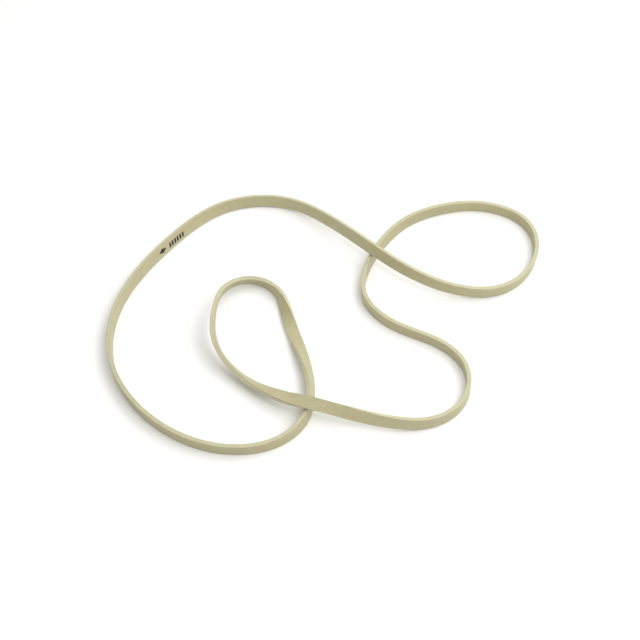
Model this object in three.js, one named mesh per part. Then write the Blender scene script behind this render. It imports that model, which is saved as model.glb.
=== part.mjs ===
// Stretching strap: one endless flat band of natural latex, lying in three open loops.
//
// Millimetres, +Z up. The origin is under the middle of the band's outline, on the surface
// that it lies on. +X runs along the longest side of that outline.
//
// The band is built up as the real one is: thin sheets of latex bonded one on another round
// a drum, then slit into a narrow endless strap. Each sheet is a ply, a closed ring of its
// own. Ply 1 is the inner face of the large loop and the last ply is its outer face.

import * as THREE from "three";

// The strap itself.
const LOOP_LENGTH = 2080;
const STRAP_WIDTH = 13;
const STRAP_THICKNESS = 4.5;

// The plies, and the bond line left open between one ply and the next.
const PLY_COUNT = 9;
const BOND_LINE = 0.04;
const PLY_THICKNESS = (STRAP_THICKNESS - BOND_LINE * (PLY_COUNT - 1)) / PLY_COUNT;

// Sections along the strap for each point of the route.
const SECTIONS_PER_POINT = 4;

// Natural latex, a little paler on the inner and outer faces than in the plies between.
const FACE_COLOUR = 0xcdc6a0;
const CORE_COLOUR = 0xd6d0ae;
const LATEX_ROUGHNESS = 0.55;

// The way the strap lies, as the corners of a smooth closed curve that it bends past.
// Each row is x, y, lift and lean. Lift is how far the strap's lowest edge is held off the
// surface. Where it is below nothing, it draws the curve down to touch between two raised
// stretches. Lean is in degrees about the strap's own line: 0 stands on its cut edge, 90 lies
// flat, and 180 stands on the other cut edge.
const ROUTE = [
  // The far side of the large loop, rising to pass over the S bend.
  [-61, 175, 0, -14],
  [-14, 160, 3, -18],
  [48, 94, 14, -24],
  [86, 54, 16, -18],
  // The right loop.
  [141, 31, 4, -4],
  [202, 30, 0, 2],
  [243, 78, 0, 5],
  [242, 138, 0, 4],
  [194, 165, 0, 0],
  [149, 163, 0, 2],
  [99, 144, 0, 8],
  // Under the far crossing and round the S bend.
  [69, 107, 0, 12],
  [48, 65, 0, 3],
  [43, 21, 0, -2],
  [77, -16, 0, 0],
  [122, -31, 0, 0],
  [155, -63, 0, 0],
  [152, -111, 0, 2],
  [117, -140, 0, 3],
  // Rolling on to its flat to pass over the near crossing.
  [70, -141, 4, 16],
  [22, -130, 10, 48],
  [-24, -119, 19, 78],
  [-71, -91, -4, 138],
  // The small loop, whose left side is held up.
  [-114, -49, 8, 162],
  [-112, -1, 19, 188],
  [-105, 36, 6, 195],
  [-77, 56, 0, 208],
  [-44, 40, 0, 178],
  [-34, -2, 0, 118],
  [-21, -42, 0, 62],
  [-7, -88, 0, 24],
  // Under the near crossing and round the large loop.
  [-11, -139, 0, 8],
  [-52, -170, 0, 0],
  [-109, -170, 0, 0],
  [-161, -144, 0, -2],
  [-202, -100, 0, -3],
  [-225, -43, 0, -4],
  [-217, 32, 0, -12],
  [-171, 105, 0, -26],
  [-119, 164, 0, -20],
];

const SECTION_COUNT = ROUTE.length * SECTIONS_PER_POINT;
const UP = new THREE.Vector3(0, 0, 1);

// The pull of four neighbouring route points on a place between the middle two.
function pullOfPoints(along) {
  const left = 1 - along;
  return [
    left ** 3 / 6,
    (3 * along ** 3 - 6 * along ** 2 + 4) / 6,
    (3 * left ** 3 - 6 * left ** 2 + 4) / 6,
    along ** 3 / 6,
  ];
}

// One value of the route, smoothed along the strap at a section.
function routeValue(section, column) {
  const point = Math.floor(section / SECTIONS_PER_POINT);
  const pulls = pullOfPoints(section / SECTIONS_PER_POINT - point);
  let value = 0;
  pulls.forEach((pull, step) => {
    const row = ROUTE[(point + step - 1 + ROUTE.length) % ROUTE.length];
    value += pull * row[column];
  });
  return value;
}

// How high the strap's centre line is when its lowest edge touches the surface.
function restingHeight(lean) {
  const standing = (STRAP_WIDTH / 2) * Math.abs(Math.cos(lean));
  const lying = (STRAP_THICKNESS / 2) * Math.abs(Math.sin(lean));
  return standing + lying;
}

// The centre line and lean at every section, with the plan drawn to a scale.
function layCentreLine(scale) {
  const line = [];
  for (let section = 0; section < SECTION_COUNT; section++) {
    const lean = THREE.MathUtils.degToRad(routeValue(section, 3));
    const height = routeValue(section, 2) + restingHeight(lean);
    const x = routeValue(section, 0) * scale;
    const y = routeValue(section, 1) * scale;
    line.push({ centre: new THREE.Vector3(x, y, height), lean });
  }
  return line;
}

function neighbour(line, index, step) {
  return line[(index + step + line.length) % line.length];
}

function lengthOf(line) {
  let length = 0;
  line.forEach((section, index) => {
    length += section.centre.distanceTo(neighbour(line, index, 1).centre);
  });
  return length;
}

// Adds to each section the direction across the width and the one through the thickness.
function addSectionAxes(line) {
  line.forEach((section, index) => {
    const before = neighbour(line, index, -1).centre;
    const after = neighbour(line, index, 1).centre;
    const forward = after.clone().sub(before).normalize();
    const side = UP.clone().cross(forward).normalize();
    const upright = forward.clone().cross(side);
    const cos = Math.cos(section.lean);
    const sin = Math.sin(section.lean);
    section.across = upright.clone().multiplyScalar(cos).addScaledVector(side, -sin);
    section.through = side.clone().multiplyScalar(cos).addScaledVector(upright, sin);
  });
  return line;
}

// The four corners of a ply at a section, in order round it.
function plyCorners(section, inner, outer) {
  const half = STRAP_WIDTH / 2;
  const corners = [
    [-half, inner],
    [half, inner],
    [half, outer],
    [-half, outer],
  ];
  return corners.map(([width, depth]) =>
    section.centre.clone().addScaledVector(section.across, width).addScaledVector(section.through, depth),
  );
}

// Joins the corners of each section to the next, all the way round. The inner and outer faces
// are split along the same diagonal, so that one ply's face follows the next ply's exactly.
function ringFaces(sections) {
  const faces = [];
  for (let section = 0; section < sections; section++) {
    const here = section * 4;
    const next = ((section + 1) % sections) * 4;
    for (let corner = 0; corner < 4; corner++) {
      const turn = (corner + 1) % 4;
      const quad = [here + corner, here + turn, next + turn, next + corner];
      const [a, b, c, d] = corner < 2 ? quad : [quad[3], quad[0], quad[1], quad[2]];
      faces.push(a, c, b);
      faces.push(a, d, c);
    }
  }
  return faces;
}

function plyGeometry(line, inner, outer) {
  const corners = line.flatMap((section) => plyCorners(section, inner, outer));
  const geometry = new THREE.BufferGeometry().setFromPoints(corners);
  geometry.setIndex(ringFaces(line.length));
  geometry.computeVertexNormals();
  return geometry;
}

function plyName(number) {
  if (number === 1) return "ply_1_inner";
  if (number === PLY_COUNT) return `ply_${number}_outer`;
  return `ply_${number}`;
}

function buildPly(line, number) {
  const isFace = number === 1 || number === PLY_COUNT;
  const inner = -STRAP_THICKNESS / 2 + (number - 1) * (PLY_THICKNESS + BOND_LINE);
  const material = new THREE.MeshStandardMaterial({
    color: isFace ? FACE_COLOUR : CORE_COLOUR,
    roughness: LATEX_ROUGHNESS,
    metalness: 0,
  });
  const ply = new THREE.Mesh(plyGeometry(line, inner, inner + PLY_THICKNESS), material);
  ply.name = plyName(number);
  return ply;
}

function buildStrap() {
  const scale = LOOP_LENGTH / lengthOf(layCentreLine(1));
  const line = addSectionAxes(layCentreLine(scale));
  const strap = new THREE.Group();
  strap.name = "stretching_strap";
  for (let number = 1; number <= PLY_COUNT; number++) {
    strap.add(buildPly(line, number));
  }
  const middle = new THREE.Box3().setFromObject(strap).getCenter(new THREE.Vector3());
  strap.position.set(-middle.x, -middle.y, 0);
  strap.updateMatrixWorld(true);
  return strap;
}

export default buildStrap();
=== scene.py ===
"""Stretching strap: an endless flat band of layered natural latex, lying in three open loops.

Everything is in metres, +Z up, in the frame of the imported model. The band is made of the same
plies as the model: thin sheets of latex bonded one on another round a drum and then slit.
"""

import math

import bpy
import numpy as np
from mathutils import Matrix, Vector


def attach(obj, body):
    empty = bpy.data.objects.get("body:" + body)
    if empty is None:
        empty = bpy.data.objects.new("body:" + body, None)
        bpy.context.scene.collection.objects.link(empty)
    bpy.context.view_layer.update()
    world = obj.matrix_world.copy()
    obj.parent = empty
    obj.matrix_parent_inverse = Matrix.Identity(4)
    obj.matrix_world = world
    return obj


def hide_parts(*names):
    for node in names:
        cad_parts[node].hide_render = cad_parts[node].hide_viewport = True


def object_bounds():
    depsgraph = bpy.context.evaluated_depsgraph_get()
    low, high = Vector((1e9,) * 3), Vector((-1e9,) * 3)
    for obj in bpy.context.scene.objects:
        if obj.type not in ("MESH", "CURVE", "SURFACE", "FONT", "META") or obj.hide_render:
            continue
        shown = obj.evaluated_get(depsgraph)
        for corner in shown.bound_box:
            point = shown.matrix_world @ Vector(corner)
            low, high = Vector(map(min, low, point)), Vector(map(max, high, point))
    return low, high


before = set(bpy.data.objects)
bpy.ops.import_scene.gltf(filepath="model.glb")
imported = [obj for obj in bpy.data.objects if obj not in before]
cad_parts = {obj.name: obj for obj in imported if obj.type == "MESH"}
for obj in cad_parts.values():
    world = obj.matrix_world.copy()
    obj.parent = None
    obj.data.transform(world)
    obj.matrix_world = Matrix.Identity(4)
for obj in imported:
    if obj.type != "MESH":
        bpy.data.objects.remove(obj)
cad_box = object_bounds()

# The strap, in metres.
LOOP_LENGTH = 2.080
WIDTH = 0.013
THICKNESS = 0.0045
PLY_COUNT = 9
BOND_LINE = 0.00004
PLY_THICKNESS = (THICKNESS - BOND_LINE * (PLY_COUNT - 1)) / PLY_COUNT
DRUM_RADIUS = LOOP_LENGTH / (2 * math.pi)

# How finely it is drawn. The columns are the rows of points across a face, as shares of half
# the width. Points beyond the start of the edge belong to the slit edge.
SECTIONS_PER_POINT = 24
SLIT_CORNER = 0.00005
FACE_CORNER = 0.00028
FACE_CORNER_STEPS = 4
FACE_COLUMNS = (0.90, 0.70, 0.35, 0.0, -0.35, -0.70, -0.90)
EDGE_START = 0.93
SHARP_DEGREES = 35.0

# How untrue the slitting and the sheets are: how far they wander, and in how many waves round
# the loop. The slit edges wander partly together and partly each sheet by itself.
SLIT_WANDER = 0.00005
SLIT_TURNS = (23, 57, 91)
SLIT_SEED = 2.0
SLIT_SHARED = 0.6
SHEET_TURNS = (131, 189, 233)
FACE_WANDER = 0.00004
FACE_TURNS = (61, 97, 143)
FACE_SEED = 5.0
FACE_SKEW = 4

# The route that the strap takes, as the corners of a smooth closed curve that it bends past.
# Each row is x, y and lift in metres and lean in degrees. Lift is how far the strap's lowest
# edge is held off the surface. Where it is below nothing, it draws the curve down to touch
# between two raised stretches. Lean 0 stands on its cut edge and 90 lies flat.
ROUTE = np.array([
    # The far side of the large loop, rising to pass over the S bend.
    (-0.061, 0.175, 0, -14),
    (-0.014, 0.160, 0.003, -18),
    (0.048, 0.094, 0.014, -24),
    (0.086, 0.054, 0.016, -18),
    # The right loop.
    (0.141, 0.031, 0.004, -4),
    (0.202, 0.030, 0, 2),
    (0.243, 0.078, 0, 5),
    (0.242, 0.138, 0, 4),
    (0.194, 0.165, 0, 0),
    (0.149, 0.163, 0, 2),
    (0.099, 0.144, 0, 8),
    # Under the far crossing and round the S bend.
    (0.069, 0.107, 0, 12),
    (0.048, 0.065, 0, 3),
    (0.043, 0.021, 0, -2),
    (0.077, -0.016, 0, 0),
    (0.122, -0.031, 0, 0),
    (0.155, -0.063, 0, 0),
    (0.152, -0.111, 0, 2),
    (0.117, -0.140, 0, 3),
    # Rolling on to its flat to pass over the near crossing.
    (0.070, -0.141, 0.004, 16),
    (0.022, -0.130, 0.010, 48),
    (-0.024, -0.119, 0.019, 78),
    (-0.071, -0.091, -0.004, 138),
    # The small loop, whose left side is held up.
    (-0.114, -0.049, 0.008, 162),
    (-0.112, -0.001, 0.019, 188),
    (-0.105, 0.036, 0.006, 195),
    (-0.077, 0.056, 0, 208),
    (-0.044, 0.040, 0, 178),
    (-0.034, -0.002, 0, 118),
    (-0.021, -0.042, 0, 62),
    (-0.007, -0.088, 0, 24),
    # Under the near crossing and round the large loop.
    (-0.011, -0.139, 0, 8),
    (-0.052, -0.170, 0, 0),
    (-0.109, -0.170, 0, 0),
    (-0.161, -0.144, 0, -2),
    (-0.202, -0.100, 0, -3),
    (-0.225, -0.043, 0, -4),
    (-0.217, 0.032, 0, -12),
    (-0.171, 0.105, 0, -26),
    (-0.119, 0.164, 0, -20),
])

# The printed mark: a lozenge and a row of slanted strokes on the inner face.
INK_THICKNESS = 0.00002
INK_STANDOFF = 0.00001
LOZENGE_START = 1.9305
LOZENGE_MIDDLE = -0.0004
LOZENGE_LENGTH = 0.0125
LOZENGE_HEIGHT = 0.0058
STROKES_START = 1.9470
STROKES_MIDDLE = -0.0012
STROKE_COUNT = 6
STROKE_PITCH = 0.0042
STROKE_WIDTH = 0.0027
STROKE_HEIGHT = 0.0054
STROKE_SLANT = 0.0013
MARK_STEPS = 6

# Base colours: two slow tints and the pale tone of dust and drag, on the faces and on the plies
# between them. From one sheet to the next the tone goes up and down a little.
FACE_TINTS = ((0.456, 0.408, 0.241), (0.440, 0.424, 0.249), (0.583, 0.559, 0.412))
CORE_TINTS = ((0.576, 0.540, 0.344), (0.567, 0.549, 0.352), (0.684, 0.657, 0.490))
TONE_SPREAD = 0.025
TONE_STEP = 2.4

# The patterns on the latex. A scale is in features to the metre. A range is where in the
# pattern it begins to show and where it shows in full, and then how strongly at each.
TINT_SCALE = 11.0
TINT_RANGE = (0.36, 0.64)
MOTTLE_SCALE = 230.0
MOTTLE_RANGE = (0.62, 0.34, 0.0, 0.45)
MOTTLE_DARKENING = 0.80
ROLLER_SCALE = 260.0
ROLLER_STRETCH = (1.0, 1.0, 0.07)
ROLLER_RANGE = (0.60, 0.80, 0.0, 0.10)
DRAG_SCALE = 1500.0
DRAG_RANGE = (0.45, 0.70, 0.0, 0.5)
DUST_SCALE = 2400.0
DUST_RANGE = (0.56, 0.72, 0.0, 0.7)
DUST_PATCH_SCALE = 45.0
DUST_PATCH_RANGE = (0.40, 0.62)
GRAIN_SCALE = 1700.0

# How rough the latex is from its shiniest mottling to its dullest, how much the dust adds, and
# how it takes the light.
ROUGHNESS_RANGE = (0.3, 0.7, 0.40, 0.56)
DUST_ROUGHNESS = 0.25
BUMP_HEIGHT = 0.00006
BUMP_STRENGTH = 0.5
ROLLER_BUMP = 1.4
LATEX_SPECULAR = 0.38
SHEEN_WEIGHT = 0.10
SHEEN_ROUGHNESS = 0.5

# Where the knife has dragged: from this share of half the width outwards. The drag lines run
# along the strap and lie close together across its thickness.
RIM_START = 0.86
DRAG_RADIUS = 0.02
DRAG_CLOSENESS = 5

# The ink: two blacks, and the latex that shows in its pinholes.
INK_BLACKS = ((0.006, 0.006, 0.005), (0.018, 0.017, 0.014))
INK_UNEVEN_SCALE = 420.0
INK_UNEVEN_RANGE = (0.3, 0.7)
INK_HOLE_COLOUR = (0.30, 0.28, 0.17)
INK_HOLE_SCALE = 1900.0
INK_HOLE_RANGE = (0.66, 0.74)
INK_ROUGHNESS = (0.42, 0.55)

# The camera's aim, in the frame, and its place.
CAMERA_AIM = (-0.0098, -0.0016, 0.0)
CAMERA_DISTANCE = 1.3707
CAMERA_ELEVATION = 51.0
CAMERA_FIELD = 28.0
SENSOR_WIDTH = 36.0

# The studio: the even light, the softboxes (name, place, side, power) and the floor.
WORLD_LIGHT = 0.572
WORLD_TINT = (1.0, 0.99, 0.965)
SOFTBOXES = (
    ("top_softbox", (0.0, 0.0, 2.4), 2.2, 15.5),
    ("rear_softbox", (1.2, 1.2, 1.70), 1.6, 22.5),
    ("front_softbox", (0.668, -0.386, 0.919), 0.8, 5.1),
)
FLOOR_HALF = 4.0
FLOOR_TOP = -0.0001
FLOOR_WHITES = ((0.93, 0.93, 0.93), (0.95, 0.95, 0.95))
FLOOR_CLOUD_SCALE = 1.5
FLOOR_ROUGHNESS = 0.7
FLOOR_SPECULAR = 0.2


# ---------------------------------------------------------------- the strap's shape

def smoothed_route(sections):
    """The route's four columns at evenly spaced sections of its closed cubic B-spline."""
    place = np.arange(sections) * len(ROUTE) / sections
    point = np.floor(place).astype(int)
    along = (place - point)[:, None]
    left = 1 - along
    pulls = (left**3, 3 * along**3 - 6 * along**2 + 4, 3 * left**3 - 6 * left**2 + 4, along**3)
    rows = (ROUTE[(point + step - 1) % len(ROUTE)] for step in range(4))
    return sum(pull * row for pull, row in zip(pulls, rows)) / 6


def unit(vectors):
    return vectors / np.linalg.norm(vectors, axis=1, keepdims=True)


def centre_line(scale):
    """The middle of the strap at every section, and its lean, with the plan drawn to a scale."""
    x, y, lift, lean = smoothed_route(len(ROUTE) * SECTIONS_PER_POINT).T
    lean = np.radians(lean)
    height = lift + WIDTH / 2 * abs(np.cos(lean)) + THICKNESS / 2 * abs(np.sin(lean))
    return np.column_stack([x * scale, y * scale, height]), lean


def steps_along(line):
    return np.linalg.norm(np.roll(line, -1, axis=0) - line, axis=1)


class Band:
    """The strap's sections: how far along each is, its centre, and its two directions."""

    def __init__(self):
        rough, _ = centre_line(1.0)
        scale = LOOP_LENGTH / steps_along(rough).sum()
        self.centre, lean = centre_line(scale)
        self.along = np.concatenate([[0.0], np.cumsum(steps_along(self.centre))[:-1]])
        forward = unit(np.roll(self.centre, -1, axis=0) - np.roll(self.centre, 1, axis=0))
        side = unit(np.cross((0.0, 0.0, 1.0), forward))
        upright = np.cross(forward, side)
        cos, sin = np.cos(lean)[:, None], np.sin(lean)[:, None]
        self.across = cos * upright - sin * side
        self.through = cos * side + sin * upright
        self.centre = self.centre + self._to_middle()

    def _to_middle(self):
        """The move that puts the middle of the strap's outline on the frame's origin."""
        corners = np.concatenate([
            self.centre + self.across * (WIDTH / 2 * a) + self.through * (THICKNESS / 2 * t)
            for a in (-1, 1) for t in (-1, 1)
        ])
        middle = (corners.min(axis=0) + corners.max(axis=0)) / 2
        aim = (np.array(cad_box[0]) + np.array(cad_box[1])) / 2
        return np.array([aim[0] - middle[0], aim[1] - middle[1], 0.0])

    def at(self, along, across, through):
        """Points of the strap, from how far along, across and through it they are."""
        place = along % LOOP_LENGTH
        ring = np.append(self.along, LOOP_LENGTH)
        found = []
        for rows in (self.centre, self.across, self.through):
            closed = np.vstack([rows, rows[:1]])
            found.append(np.column_stack([np.interp(place, ring, column) for column in closed.T]))
        return found[0] + found[1] * across[:, None] + found[2] * through[:, None]


def wander(along, turns, seed):
    """A slow unevenness round the strap, from -1 to 1, that meets itself after one turn.

    The seed decides how strong each wave is and where it starts.
    """
    angle = 2 * math.pi * along / LOOP_LENGTH
    waves = [math.sin(seed + 1.7 * turn) * np.cos(turn * angle + seed * turn) for turn in turns]
    return sum(waves) / len(turns)


def face_unevenness(along, across):
    """How far the faces of the strap are out of true through its thickness."""
    return FACE_WANDER * wander(along + FACE_SKEW * across, FACE_TURNS, FACE_SEED)


def drum_points(along, across, through, radius=DRUM_RADIUS):
    """Where points lay while the strap was still round on its drum, for patterns with no seam."""
    angle = 2 * math.pi * along / LOOP_LENGTH
    reach = radius + through
    return np.column_stack([reach * np.cos(angle), reach * np.sin(angle), across])


# ---------------------------------------------------------------- meshes

def ring_faces(sections, outline):
    """Quads that join each section's outline to the next, all the way round the strap.

    The faces of neighbouring plies are split along the same diagonal, which joins the higher
    side of one section to the lower side of the next, so that they stay apart in a twist.
    """
    around = len(outline)
    here = np.arange(sections)[:, None] * around
    following = ((np.arange(sections)[:, None] + 1) % sections) * around
    turn = np.arange(around)[None, :]
    after = (turn + 1) % around
    quads = np.stack([here + turn, following + turn, following + after, here + after], axis=2)
    across = np.array(outline)[:, 0]
    climbing = np.roll(across, -1) > across
    quads[:, climbing] = np.roll(quads[:, climbing], -1, axis=2)
    return quads.reshape(-1, 4)


def new_object(name, points, faces, material):
    mesh = bpy.data.meshes.new(name)
    mesh.from_pydata(np.asarray(points).tolist(), [], np.asarray(faces).tolist())
    mesh.polygons.foreach_set("use_smooth", [True] * len(mesh.polygons))
    mesh.set_sharp_from_angle(angle=math.radians(SHARP_DEGREES))
    mesh.materials.append(material)
    mesh.update()
    made = bpy.data.objects.new(name, mesh)
    bpy.context.scene.collection.objects.link(made)
    return made


def add_points_attribute(made, name, values):
    kind = "FLOAT_VECTOR" if values.ndim == 2 else "FLOAT"
    attribute = made.data.attributes.new(name, kind, "POINT")
    field = "vector" if values.ndim == 2 else "value"
    attribute.data.foreach_set(field, values.astype(np.float32).ravel())


def slit_side(width, inner, outer):
    """One cut edge of a ply's outline, with its two small corners, from inner face to outer."""
    edge = math.copysign(abs(width) - SLIT_CORNER, width)
    return [
        (edge, inner),
        (width, inner + SLIT_CORNER),
        (width, outer - SLIT_CORNER),
        (edge, outer),
    ]


def rounded_face_side(width, face, back):
    """The cut edge of a face ply, rounded over where it meets the face, from back to face."""
    sign = math.copysign(1.0, width)
    inward = math.copysign(1.0, back - face)
    side = [(sign * (abs(width) - SLIT_CORNER), back), (width, back - inward * SLIT_CORNER)]
    for step in range(FACE_CORNER_STEPS + 1):
        angle = math.radians(90.0 * step / FACE_CORNER_STEPS)
        reach = abs(width) - FACE_CORNER * (1 - math.cos(angle))
        side.append((sign * reach, face + inward * FACE_CORNER * (1 - math.sin(angle))))
    return side


def ply_outline(number):
    """The points round a ply, anticlockwise with across to the right and through upwards."""
    half = WIDTH / 2
    inner = -THICKNESS / 2 + (number - 1) * (PLY_THICKNESS + BOND_LINE)
    outer = inner + PLY_THICKNESS
    if 1 < number < PLY_COUNT:
        return slit_side(half, inner, outer) + slit_side(-half, inner, outer)[::-1]
    face, back = (inner, outer) if number == 1 else (outer, inner)
    columns = [(half * share, face) for share in FACE_COLUMNS]
    high = rounded_face_side(half, face, back)
    low = rounded_face_side(-half, face, back)[::-1]
    outline = high + columns + low
    return outline[::-1] if number == 1 else outline


def ply_points(band, number, outline):
    """Every point of a ply, with the slit edges and the faces a little untrue."""
    across, through = np.array(outline).T
    along = np.repeat(band.along, len(outline))
    across = np.tile(across, len(band.along))
    through = np.tile(through, len(band.along))
    shared = wander(along, SLIT_TURNS, SLIT_SEED)
    slit = SLIT_SHARED * shared + (1 - SLIT_SHARED) * wander(along, SHEET_TURNS, number)
    at_edge = abs(across) > EDGE_START * WIDTH / 2
    across = across + np.sign(across) * at_edge * SLIT_WANDER * slit
    through = through + face_unevenness(along, across)
    section = np.repeat(np.arange(len(band.along)), len(outline))
    points = (
        band.centre[section]
        + band.across[section] * across[:, None]
        + band.through[section] * through[:, None]
    )
    return points, along, across, through


def ply_name(number):
    if number == 1:
        return "ply_1_inner"
    if number == PLY_COUNT:
        return f"ply_{number}_outer"
    return f"ply_{number}"


def build_ply(band, number, material):
    outline = ply_outline(number)
    points, along, across, through = ply_points(band, number, outline)
    faces = ring_faces(len(band.along), outline)
    ply = new_object(f"latex_{ply_name(number)}", points, faces, material)
    add_points_attribute(ply, "drum", drum_points(along, across, through))
    drag = drum_points(along, across + DRAG_CLOSENESS * through, 0 * along, DRAG_RADIUS)
    add_points_attribute(ply, "drag", drag)
    rim = (abs(across) / (WIDTH / 2) - RIM_START) / (1 - RIM_START)
    add_points_attribute(ply, "rim", np.clip(rim, 0, 1))
    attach(ply, "root")
    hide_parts(ply_name(number))
    return ply


# ---------------------------------------------------------------- the printed mark

def film_patch(corners):
    """A four-cornered patch of ink, closed all round: its points along, across and through
    the strap, and its faces."""
    a, b, c, d = (np.array(corner) for corner in corners)
    shares = [step / MARK_STEPS for step in range(MARK_STEPS + 1)]
    grid = np.array([
        (1 - v) * ((1 - u) * a + u * b) + v * ((1 - u) * d + u * c)
        for v in shares for u in shares
    ])
    count = len(grid)
    inner_face = -THICKNESS / 2 - INK_STANDOFF
    under = np.column_stack([grid, np.full(count, inner_face)])
    over = np.column_stack([grid, np.full(count, inner_face - INK_THICKNESS)])
    faces = []
    wide = MARK_STEPS + 1
    for row in range(MARK_STEPS):
        for column in range(MARK_STEPS):
            first = row * wide + column
            quad = [first, first + 1, first + 1 + wide, first + wide]
            faces.append([count + corner for corner in quad])
            faces.append(quad[::-1])
    border = list(range(wide))
    border += [row * wide + MARK_STEPS for row in range(1, wide)]
    border += [MARK_STEPS * wide + column for column in range(MARK_STEPS - 1, -1, -1)]
    border += [row * wide for row in range(MARK_STEPS - 1, 0, -1)]
    for here, after in zip(border, border[1:] + border[:1]):
        faces.append([here, after, count + after, count + here])
    return np.vstack([under, over]), faces


def mark_patches():
    """The lozenge and the strokes, each as its four corners along and across the strap."""
    middle = LOZENGE_START + LOZENGE_LENGTH / 2
    yield [
        (LOZENGE_START, LOZENGE_MIDDLE),
        (middle, LOZENGE_MIDDLE - LOZENGE_HEIGHT / 2),
        (LOZENGE_START + LOZENGE_LENGTH, LOZENGE_MIDDLE),
        (middle, LOZENGE_MIDDLE + LOZENGE_HEIGHT / 2),
    ]
    for stroke in range(STROKE_COUNT):
        start = STROKES_START + STROKE_PITCH * stroke
        low = STROKES_MIDDLE - STROKE_HEIGHT / 2
        high = STROKES_MIDDLE + STROKE_HEIGHT / 2
        yield [
            (start, low),
            (start + STROKE_WIDTH, low),
            (start + STROKE_WIDTH + STROKE_SLANT, high),
            (start + STROKE_SLANT, high),
        ]


def build_mark(band, material):
    points, faces = [], []
    count = 0
    for corners in mark_patches():
        patch, quads = film_patch(corners)
        points.append(patch)
        faces += [[count + corner for corner in quad] for quad in quads]
        count += len(patch)
    along, across, through = np.vstack(points).T
    through = through + face_unevenness(along, across)
    mark = new_object("printed_mark", band.at(along, across, through), faces, material)
    add_points_attribute(mark, "drum", drum_points(along, across, through))
    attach(mark, "root")
    return mark


# ---------------------------------------------------------------- materials

def add_node(tree, kind, inputs=None, **settings):
    """A new node. Inputs are given by name or index, as plain values or as sockets to join."""
    node = tree.nodes.new(kind)
    for name, value in settings.items():
        setattr(node, name, value)
    for name, value in (inputs or {}).items():
        if isinstance(value, bpy.types.NodeSocket):
            tree.links.new(value, node.inputs[name])
        else:
            node.inputs[name].default_value = value
    return node


def attribute(tree, name):
    return add_node(tree, "ShaderNodeAttribute", attribute_name=name).outputs["Vector"]


def attribute_value(tree, name):
    return add_node(tree, "ShaderNodeAttribute", attribute_name=name).outputs["Fac"]


def stretched(tree, vector, scale):
    mapping = add_node(tree, "ShaderNodeMapping", {"Vector": vector, "Scale": scale})
    return mapping.outputs["Vector"]


def noise(tree, vector, scale, detail=2.0, roughness=0.5):
    inputs = {"Vector": vector, "Scale": scale, "Detail": detail, "Roughness": roughness}
    return add_node(tree, "ShaderNodeTexNoise", inputs).outputs[0]


def between(tree, value, low, high, to_low=0.0, to_high=1.0):
    """value, moved from the range low to high into to_low to to_high, and held there."""
    inputs = {"Value": value, "From Min": low, "From Max": high}
    inputs.update({"To Min": to_low, "To Max": to_high})
    return add_node(tree, "ShaderNodeMapRange", inputs).outputs["Result"]


def calculate(tree, operation, first, second):
    return add_node(tree, "ShaderNodeMath", {0: first, 1: second}, operation=operation).outputs[0]


def mixed_colour(tree, share, low, high):
    inputs = {0: share, 6: low, 7: high}
    return add_node(tree, "ShaderNodeMix", inputs, data_type="RGBA").outputs[2]


def colour(red, green, blue):
    return (red, green, blue, 1.0)


def new_material(name):
    material = bpy.data.materials.new(name)
    material.use_nodes = True
    tree = material.node_tree
    return material, tree, tree.nodes["Principled BSDF"]


def latex(name, warm, cool, pale, tone):
    """Natural latex: two slow tints, mottling, faint roller lines, knife drag, and talc dust."""
    material, tree, shader = new_material(name)
    drum = attribute(tree, "drum")
    drag = attribute(tree, "drag")
    rim = attribute_value(tree, "rim")

    tint = between(tree, noise(tree, drum, TINT_SCALE, 3.0), *TINT_RANGE)
    base = mixed_colour(tree, tint, colour(*warm), colour(*cool))

    mottle = noise(tree, drum, MOTTLE_SCALE, 4.0, 0.6)
    darker = colour(*(MOTTLE_DARKENING * part for part in warm))
    base = mixed_colour(tree, between(tree, mottle, *MOTTLE_RANGE), base, darker)

    roller_lines = noise(tree, stretched(tree, drum, ROLLER_STRETCH), ROLLER_SCALE)
    line_mask = between(tree, roller_lines, *ROLLER_RANGE)
    base = mixed_colour(tree, line_mask, base, colour(*pale))

    drag_lines = noise(tree, drag, DRAG_SCALE)
    drag_mask = calculate(tree, "MULTIPLY", between(tree, drag_lines, *DRAG_RANGE), rim)
    base = mixed_colour(tree, drag_mask, base, colour(*pale))

    dust = noise(tree, drum, DUST_SCALE, 2.0, 0.7)
    dust_patches = between(tree, noise(tree, drum, DUST_PATCH_SCALE), *DUST_PATCH_RANGE)
    dust_mask = calculate(tree, "MULTIPLY", between(tree, dust, *DUST_RANGE), dust_patches)
    base = mixed_colour(tree, dust_mask, base, colour(*pale))

    shade = add_node(tree, "ShaderNodeHueSaturation", {"Color": base, "Value": tone})
    tree.links.new(shade.outputs["Color"], shader.inputs["Base Color"])

    worn = between(tree, mottle, *ROUGHNESS_RANGE)
    dusty = calculate(tree, "MULTIPLY", dust_mask, DUST_ROUGHNESS)
    roughness = calculate(tree, "ADD", worn, dusty)
    tree.links.new(roughness, shader.inputs["Roughness"])

    grain = noise(tree, drum, GRAIN_SCALE, 3.0, 0.6)
    ripples = calculate(tree, "ADD", calculate(tree, "MULTIPLY", roller_lines, ROLLER_BUMP), grain)
    height = calculate(tree, "ADD", ripples, calculate(tree, "MULTIPLY", drag_lines, rim))
    relief = {"Height": height, "Strength": BUMP_STRENGTH, "Distance": BUMP_HEIGHT}
    bump = add_node(tree, "ShaderNodeBump", relief)
    tree.links.new(bump.outputs["Normal"], shader.inputs["Normal"])
    shader.inputs["Specular IOR Level"].default_value = LATEX_SPECULAR
    shader.inputs["Sheen Weight"].default_value = SHEEN_WEIGHT
    shader.inputs["Sheen Roughness"].default_value = SHEEN_ROUGHNESS
    return material


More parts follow.
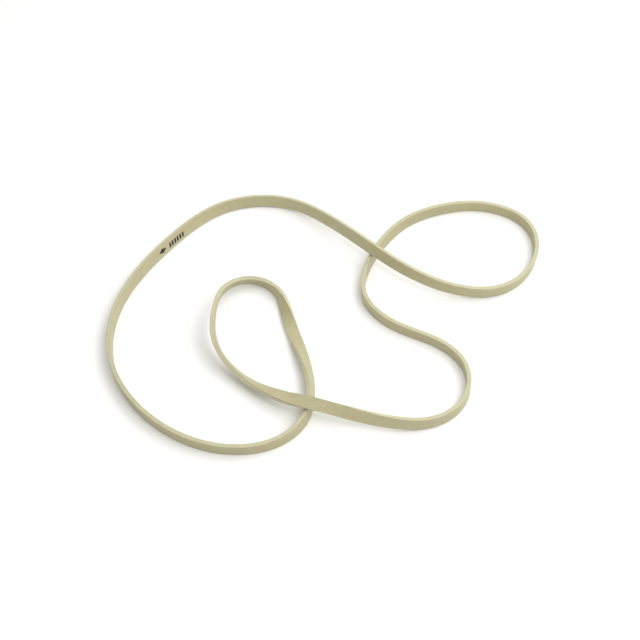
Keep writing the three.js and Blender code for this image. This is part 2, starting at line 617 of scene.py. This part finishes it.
def ink(name):
    """Black printing ink, thin enough that the latex shows through it in pinholes."""
    material, tree, shader = new_material(name)
    drum = attribute(tree, "drum")
    holes = between(tree, noise(tree, drum, INK_HOLE_SCALE, 2.0, 0.6), *INK_HOLE_RANGE)
    uneven = between(tree, noise(tree, drum, INK_UNEVEN_SCALE), *INK_UNEVEN_RANGE)
    black = mixed_colour(tree, uneven, *(colour(*shade) for shade in INK_BLACKS))
    shown = mixed_colour(tree, holes, black, colour(*INK_HOLE_COLOUR))
    tree.links.new(shown, shader.inputs["Base Color"])
    tree.links.new(between(tree, uneven, 0.0, 1.0, *INK_ROUGHNESS), shader.inputs["Roughness"])
    return material


def floor_paint(name):
    material, tree, shader = new_material(name)
    place = add_node(tree, "ShaderNodeTexCoord").outputs["Object"]
    cloud = noise(tree, place, FLOOR_CLOUD_SCALE)
    paint = mixed_colour(tree, cloud, *(colour(*white) for white in FLOOR_WHITES))
    tree.links.new(paint, shader.inputs["Base Color"])
    shader.inputs["Roughness"].default_value = FLOOR_ROUGHNESS
    shader.inputs["Specular IOR Level"].default_value = FLOOR_SPECULAR
    return material


# ---------------------------------------------------------------- camera, light and floor

def build_camera():
    lens = bpy.data.cameras.new("camera")
    lens.sensor_width = SENSOR_WIDTH
    lens.lens = lens.sensor_width / 2 / math.tan(math.radians(CAMERA_FIELD / 2))
    camera = bpy.data.objects.new("camera", lens)
    tilt = math.radians(CAMERA_ELEVATION)
    camera.location = (
        CAMERA_AIM[0],
        CAMERA_AIM[1] - CAMERA_DISTANCE * math.cos(tilt),
        CAMERA_AIM[2] + CAMERA_DISTANCE * math.sin(tilt),
    )
    camera.rotation_euler = (math.pi / 2 - tilt, 0.0, 0.0)
    bpy.context.scene.collection.objects.link(camera)
    bpy.context.scene.camera = camera


def add_softbox(name, place, size, power):
    """A square lamp at a place, facing the middle of the strap."""
    lamp = bpy.data.lights.new(name, "AREA")
    lamp.shape = "SQUARE"
    lamp.size = size
    lamp.energy = power
    box = bpy.data.objects.new(name, lamp)
    box.location = place
    reach = math.hypot(place[0], place[1])
    box.rotation_euler = (0.0, math.atan2(reach, place[2]), math.atan2(place[1], place[0]))
    bpy.context.scene.collection.objects.link(box)


def build_world():
    world = bpy.data.worlds.new("studio")
    world.use_nodes = True
    background = world.node_tree.nodes["Background"]
    background.inputs["Color"].default_value = colour(*WORLD_TINT)
    background.inputs["Strength"].default_value = WORLD_LIGHT
    bpy.context.scene.world = world


def build_floor():
    around = ((-1, -1), (1, -1), (1, 1), (-1, 1))
    corners = [(x * FLOOR_HALF, y * FLOOR_HALF, FLOOR_TOP) for x, y in around]
    floor = new_object("floor", corners, [(0, 1, 2, 3)], floor_paint("floor_paint"))


def build_studio():
    build_floor()
    build_world()
    for name, place, size, power in SOFTBOXES:
        add_softbox(name, place, size, power)
    bpy.context.scene.view_settings.view_transform = "Standard"


# ---------------------------------------------------------------- the whole

def build_strap():
    band = Band()
    plies = []
    for number in range(1, PLY_COUNT + 1):
        tints = FACE_TINTS if number in (1, PLY_COUNT) else CORE_TINTS
        tone = 1.0 + TONE_SPREAD * math.sin(TONE_STEP * number)
        plies.append(build_ply(band, number, latex(f"latex_sheet_{number}", *tints, tone)))
    mark = build_mark(band, ink("printing_ink"))
    middle = plies.pop(PLY_COUNT // 2)


build_camera()
build_strap()
build_studio()
